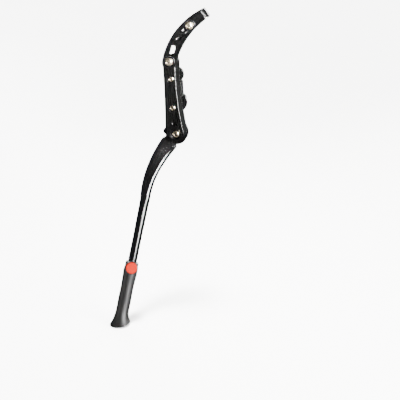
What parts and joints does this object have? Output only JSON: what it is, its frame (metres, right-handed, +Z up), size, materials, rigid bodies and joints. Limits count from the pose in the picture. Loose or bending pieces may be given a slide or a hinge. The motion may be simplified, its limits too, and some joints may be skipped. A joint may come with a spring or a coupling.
{
  "type": "bicycle kickstand",
  "caption": "Side kickstand: a bracket clamped on the chainstay, a slotted arm hooked over the seatstay, a bent swing-up leg and a flared foot that slides on it.",
  "frame": {"origin": "centre of the clamped chainstay, midway between the two clamp screws", "axes": "+X rearward along the chainstay, +Y inboard towards the wheel, +Z up"},
  "size_m": [0.1569, 0.1538, 0.458],
  "materials": {
    "cast_black_paint": "gloss black paint on a casting",
    "clamp_black_paint": "black paint",
    "leg_black_paint": "gloss black paint on a forging",
    "arm_black_paint": "gloss black paint on bent flat bar",
    "stay_rubber": "matt moulded rubber",
    "plated_screw": "zinc-nickel plated steel, turned and polished",
    "plated_nut": "zinc plated steel",
    "bush_steel": "ground steel",
    "spring_steel": "drawn spring wire",
    "black_washer": "black oxide steel",
    "foot_nylon": "satin moulded nylon",
    "collar_nylon": "satin moulded nylon",
    "red_button": "semi-gloss moulded plastic"
  },
  "bodies": {
    "clamp_body": {"bracket": "cast_black_paint", "front_stay_pad": "stay_rubber", "clamp_screws": "plated_screw", "pivot_bolt": "plated_screw", "pivot_bush": "bush_steel", "pivot_nut": "plated_nut", "arm_nut": "plated_nut"},
    "rear_clamp": {"rear_clamp_plate": "clamp_black_paint", "rear_stay_pad": "stay_rubber", "clamp_nuts": "plated_nut"},
    "leg_body": {"leg": "leg_black_paint", "detent_plunger": "bush_steel", "detent_spring": "spring_steel"},
    "foot": {"lock_collar": "collar_nylon", "foot_sleeve": "foot_nylon", "button_springs": "spring_steel"},
    "button": {"release_button": "red_button", "lock_plate": "bush_steel"},
    "arm_pin": {"arm_bolt": "plated_screw", "arm_washer": "black_washer"},
    "arm": {"upper_arm": "arm_black_paint", "hook_pad": "stay_rubber"},
    "jaw_pin": {"seatstay_bolt": "plated_screw", "seatstay_washer": "black_washer"},
    "jaw": {"seatstay_jaw": "clamp_black_paint", "jaw_pad": "stay_rubber", "seatstay_nut": "plated_nut"}
  },
  "joints": [
    {"name": "leg_swing", "type": "hinge", "parent": "clamp_body", "child": "leg_body", "pos_m": [0.0025, -0.0161, -0.0615], "axis": [0, -1, 0], "range_deg": [0, 105]},
    {"name": "foot_slide", "type": "slide", "parent": "leg_body", "child": "foot", "axis": [-0.1886, -0.3359, -0.9228], "range_m": [-0.027, 0.018]},
    {"name": "button_press", "type": "slide", "parent": "foot", "child": "button", "axis": [-0.2859, 0.9178, -0.2756], "range_m": [0, 0.002], "stiffness_N_per_m": 2000, "springref_m": -0.002, "deforming": ["button_springs"]},
    {"name": "arm_swing", "type": "hinge", "parent": "clamp_body", "child": "arm_pin", "pos_m": [0, -0.0295, 0.049], "axis": [0, -1, 0], "range_deg": [-25, 25]},
    {"name": "arm_reach", "type": "slide", "parent": "arm_pin", "child": "arm", "axis": [0.3256, 0, 0.9455], "range_m": [-0.013, 0]},
    {"name": "jaw_slide", "type": "slide", "parent": "arm", "child": "jaw_pin", "axis": [0.6691, 0, 0.7431], "range_m": [-0.009, 0]},
    {"name": "jaw_open", "type": "slide", "parent": "jaw_pin", "child": "jaw", "axis": [0, 1, 0], "range_m": [0, 0.006]},
    {"name": "clamp_open", "type": "slide", "parent": "clamp_body", "child": "rear_clamp", "axis": [0, 1, 0], "range_m": [0, 0.008]}
  ]
}
